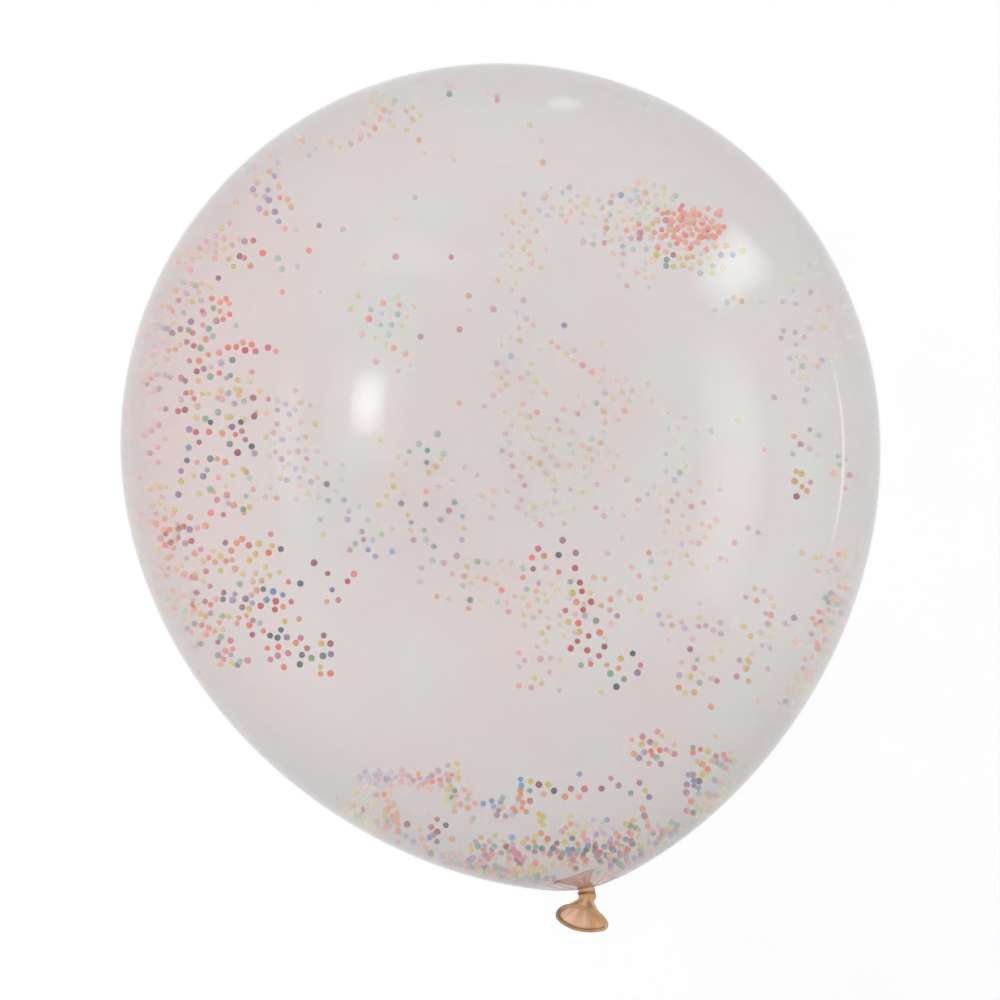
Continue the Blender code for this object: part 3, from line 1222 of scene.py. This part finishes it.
@dataclass
class BeadFill:
    """The foam beads sealed inside, each clinging to the inner wall."""

    bead_width: float = 0.0025
    width_spread: float = 0.14
    paleness_spread: float = 0.2
    wall: float = LatexSkin.wall
    inset: float = 0.52
    spread: float = 0.50
    widest_spread: float = 1.35
    string_links: int = 7
    string_pitch: tuple[float, float] = (1.35, 1.9)
    string_bend: float = 0.22
    string_wobble: float = 0.35
    sides: int = 8
    rings: int = 3
    throws: int = 6
    sortings: int = 4
    seed: int = 5

    def bead(self) -> tuple[np.ndarray, list[np.ndarray]]:
        """A ball of radius 1 with few faces: rings of points at even latitudes between two poles.

        Returns:
            Its points, and its faces in arrays of quads and of triangles.
        """
        latitude = np.linspace(-math.pi / 2, math.pi / 2, self.rings + 2)[:, None]
        angle = once_round(self.sides)
        parts = np.cos(latitude) * np.cos(angle), np.cos(latitude) * np.sin(angle), np.sin(latitude)
        ball = Surface()
        ball.add(np.stack(np.broadcast_arrays(*parts), axis=-1))
        return ball.points[0], ball.faces

    def strewn(self, cloud: Cloud, draw: np.random.Generator) -> np.ndarray:
        """Throws loose beads and short bent strings of beads into a cloud, as charged beads settle.

        Loose beads and the first of each string are spread as a bell curve over the cloud's ellipse. A string
        goes on in steps of about a bead's width, and its heading is the running sum of small random turns.
        What lies too far from the cloud's middle, as a share of its half size, is left out.

        Args:
            cloud: The patch to fill.
            draw: The source of random numbers.

        Returns:
            Places right and up in metres, in the order in which they are to be taken.
        """
        half_size = np.array([cloud.width, cloud.height]) * MM / 2
        throws = cloud.count * self.throws
        strings = round(throws * cloud.stringy / self.string_links)
        seeds = draw.normal(0, self.spread, (throws, 2)) * half_size
        tilt = math.radians(cloud.tilt)
        turned = np.array([[math.cos(tilt), math.sin(tilt)], [-math.sin(tilt), math.cos(tilt)]])
        seeds = seeds @ turned
        bend = draw.normal(0, self.string_bend, (strings, 1))
        turns = draw.normal(bend, self.string_wobble, (strings, self.string_links))
        heading = draw.uniform(0, FULL_TURN, (strings, 1)) + np.cumsum(turns, axis=1)
        pitch = self.bead_width * draw.uniform(*self.string_pitch, (strings, 1, 1))
        steps = pitch * np.stack([np.cos(heading), np.sin(heading)], axis=2)
        steps[:, 0] = 0
        links = (seeds[:strings, None] + np.cumsum(steps, axis=1)).reshape(-1, 2)
        last = draw.integers(2, self.string_links + 1, strings)
        in_use = (np.arange(self.string_links)[None] < last[:, None]).ravel()
        turn = np.repeat(draw.uniform(0, 1, strings), self.string_links)[in_use]
        places = np.concatenate([links[in_use], seeds[strings:]])
        turn = np.concatenate([turn, draw.uniform(0, 1, len(seeds) - strings)])
        places = places[np.argsort(turn, kind="stable")]
        share = np.linalg.norm(places @ turned.T / half_size, axis=1)
        return places[share < self.widest_spread] + np.array([cloud.right, cloud.up]) * MM

    @staticmethod
    def closer(first: np.ndarray, second: np.ndarray, gap: float) -> np.ndarray:
        """Which of the first beads, as place and width, leave less than the gap to which second ones."""
        apart = np.linalg.norm(first[:, None, :3] - second[None, :, :3], axis=2)
        return apart < (first[:, None, 3] + second[None, :, 3]) / 2 + gap

    def sorted_out(self, beads: np.ndarray, settled: np.ndarray, gap: float) -> np.ndarray:
        """Which beads stay, so that none is too close to a settled one or to an earlier one of its cloud.

        In each round the beads that have no earlier rival left stay, and those that they touch drop out.

        Args:
            beads: Places and widths of one cloud's beads, the first to be taken first.
            settled: Places and widths of the beads of earlier clouds.
            gap: The least clear distance from bead to bead.

        Returns:
            True for each bead that stays.
        """
        waiting = ~self.closer(beads, settled, gap).any(axis=1)
        clash = self.closer(beads, beads, gap)
        earlier = np.tril(clash, -1)
        stays = np.zeros(len(beads), bool)
        for _ in range(self.sortings):
            winners = waiting & ~(earlier & waiting[None]).any(axis=1)
            stays |= winners
            waiting &= ~clash[:, winners].any(axis=1)
        return stays

    def fill(self) -> tuple[np.ndarray, np.ndarray, np.ndarray]:
        """Strews every cloud in turn.

        Returns:
            The beads' places and widths, their foam numbers and their paleness.
        """
        draw = np.random.default_rng(self.seed)
        beads, foams, pale = np.empty((0, 4)), [], []
        for cloud in CLOUDS:
            places = self.strewn(cloud, draw)
            width = self.bead_width * (1 + self.width_spread * draw.uniform(-1, 1, len(places)))
            points, outward = FORM.pictured_at(places, cloud.wall)
            inset = self.wall + width * self.inset
            points = FORM.rest(points - outward * inset[:, None], self.wall + self.bead_width / 2)
            mine = np.column_stack([points, width])
            mine = mine[np.isfinite(mine).all(axis=1)]
            mine = mine[self.sorted_out(mine, beads, cloud.gap * MM)][: cloud.count]
            beads = np.concatenate([beads, mine])
            share = np.array(cloud.mix.value, float)
            foams.append(draw.choice(len(FOAMS), len(mine), p=share / share.sum()))
            pale.append(np.clip(draw.normal(cloud.paleness, self.paleness_spread, len(mine)), 0, 1))
        log.info("%d beads", len(beads))
        return beads, np.concatenate(foams), np.concatenate(pale)

    def build(self) -> list[bpy.types.Object]:
        """One piece for the beads of each colour.

        Returns:
            The pieces in the order of FOAMS.
        """
        beads, foams, pale = self.fill()
        ball, faces = self.bead()
        pieces = []
        for number, foam in enumerate(FOAMS):
            mine = foams == number
            corners = beads[mine, None, :3] + ball * beads[mine, None, 3:] / 2
            surface = Surface()
            surface.add_copies(corners, faces, paleness=pale[mine])
            pieces.append(surface.build(f"foam_beads_{foam.name}", foam.material(), Slot.BEADS))
        return pieces


@dataclass(frozen=True)
class Lamp:
    """A soft light that isn't seen itself, but whose image in the skin shows at a chosen spot.

    The spot is in millimetres right and up in the picture, from the middle. The lamp's height runs along
    the picture's way up and its width across that.
    """

    name: str
    spot: tuple[float, float]
    width: float
    height: float
    glow: float
    distance: float = 2.0
    gloss_only: bool = True
    power: float = 4.0
    colour: Colour = (0.94, 0.98, 1.0)

    def build(self) -> None:
        """Hangs the lamp with its face towards the spot.

        The way from the spot to the lamp is the camera's mirrored at the skin: twice the normal's rise times
        the normal, less straight up. Over the face's width and its height alike the glow is multiplied by 1
        less the square of the share of the way from the middle to the edge.
        """
        data = bpy.data.lights.new(self.name, "AREA")
        data.shape = "RECTANGLE"
        data.size, data.size_y = self.width, self.height
        data.energy = self.power * self.width * self.height
        bench = Bench(data)
        face = bench.node("ShaderNodeNewGeometry", {}, {}, "Parametric")
        across = bench.part(face, "X") * 2 - 1
        upward = bench.part(face, "Y") * 2 - 1
        fading = (1 - across * across) * (1 - upward * upward)
        light = bench.node("ShaderNodeEmission", {}, {"Color": self.colour, "Strength": fading * self.glow})
        bench.node("ShaderNodeOutputLight", {}, {"Surface": light})
        points, outward = FORM.seen_at(np.array([self.spot]) * MM, Wall.UPPER)
        away = Vector(2 * outward[0, 2] * outward[0] - np.array([0.0, 0.0, 1.0])).normalized()
        side = Vector(VIEW.up).cross(away).normalized()
        turn = Matrix((side, away.cross(side), away)).transposed()
        lamp = linked(self.name, data)
        lamp.matrix_world = Matrix.Translation(Vector(points[0]) + away * self.distance) @ turn.to_4x4()
        lamp.visible_camera = False
        lamp.visible_transmission = False
        lamp.visible_diffuse = not self.gloss_only


@dataclass
class Studio:
    """A pale floor under an even sky that is dimmer overhead, with soft lights that the skin mirrors."""

    floor_reach: float = 12.0
    floor_colour: Colour = (0.93, 0.93, 0.925)
    floor_roughness: float = 0.75
    floor_glow: float = 0.30
    glow_colour: Colour = (1.0, 1.0, 1.0)
    horizon: Colour = (0.95, 0.95, 0.95)
    zenith: Colour = (0.55, 0.55, 0.56)
    sensor_width: float = 36.0
    lamps: tuple[Lamp, ...] = (
        Lamp("key_left", (-51, 15), 0.44, 0.72, 8.0, gloss_only=False),
        Lamp("halo_left", (-52, 14), 1.10, 1.40, 1.6),
        Lamp("band_left", (-83, 1), 0.40, 1.70, 1.3),
        Lamp("broad_top", (-32, 72), 1.30, 0.60, 1.3),
        Lamp("tall_right", (91, -7), 0.95, 2.5, 2.3),
        Lamp("patch_right", (90, 67), 0.34, 0.13, 3.9, distance=0.45),
        Lamp("line_right", (134, -4), 0.010, 0.17, 1.6, distance=0.20),
        Lamp("streak_top", (25, 132), 0.030, 0.050, 1.0, distance=0.20),
    )

    def floor(self) -> None:
        """A wide plane at the height of the balloon's flat spot."""
        reach = self.floor_reach
        corners = [(-reach, -reach, 0), (reach, -reach, 0), (reach, reach, 0), (-reach, reach, 0)]
        mesh = bpy.data.meshes.new("floor")
        mesh.from_pydata(corners, [], [(0, 1, 2, 3)])
        paint = {
            "Base Color": self.floor_colour,
            "Roughness": self.floor_roughness,
            "Emission Color": self.glow_colour,
            "Emission Strength": self.floor_glow,
        }
        mesh.materials.append(Bench.of_material("floor paint").finish(paint))
        linked("floor", mesh)

    def world(self) -> None:
        """Light from all round: the horizon's colour gives way to the zenith's with the height looked at."""
        world = bpy.data.worlds.new("studio")
        bench = Bench(world)
        way = bench.node("ShaderNodeTexCoord", {}, {}, "Generated")
        sky = bench.between(bench.part(way, "Z"), self.horizon, self.zenith)
        glow = bench.node("ShaderNodeBackground", {}, {"Color": sky})
        bench.node("ShaderNodeOutputWorld", {}, {"Surface": glow})
        world.cycles.sampling_method = "NONE"
        bpy.context.scene.world = world

    def camera(self) -> None:
        """Straight above the balloon, turned as the photograph is."""
        data = bpy.data.cameras.new("camera")
        data.sensor_width = self.sensor_width
        data.lens = data.sensor_width * VIEW.distance / VIEW.frame_width
        camera = linked("camera", data)
        middle = FORM.centre - VIEW.up * VIEW.frame_drop
        camera.location = Vector(middle + np.array([0.0, 0.0, VIEW.distance]))
        camera.rotation_euler = (0.0, 0.0, -VIEW.turn)
        bpy.context.scene.camera = camera

    def build(self) -> None:
        """Floor, world, lights, camera and how the picture is developed."""
        self.floor()
        self.world()
        for lamp in self.lamps:
            lamp.build()
        self.camera()
        scene = bpy.context.scene
        scene.view_settings.view_transform = "Standard"
        scene.cycles.use_denoising = True
        scene.cycles.use_light_tree = False
        scene.cycles.max_bounces = 8
        scene.cycles.diffuse_bounces = 2
        scene.cycles.glossy_bounces = 2
        scene.cycles.transmission_bounces = 6
        scene.cycles.adaptive_threshold = 0.05


def main() -> None:
    """Builds the studio, then the balloon piece by piece."""
    logging.basicConfig(level=logging.INFO, format="%(name)s: %(message)s")
    Studio().build()
    pieces = [LatexSkin().build(), KnotAndTail().build(), *BeadFill().build()]
    for piece in pieces:
        log.info("%s has %d faces", piece.name, len(piece.data.polygons))


if __name__ == "__main__":
    main()
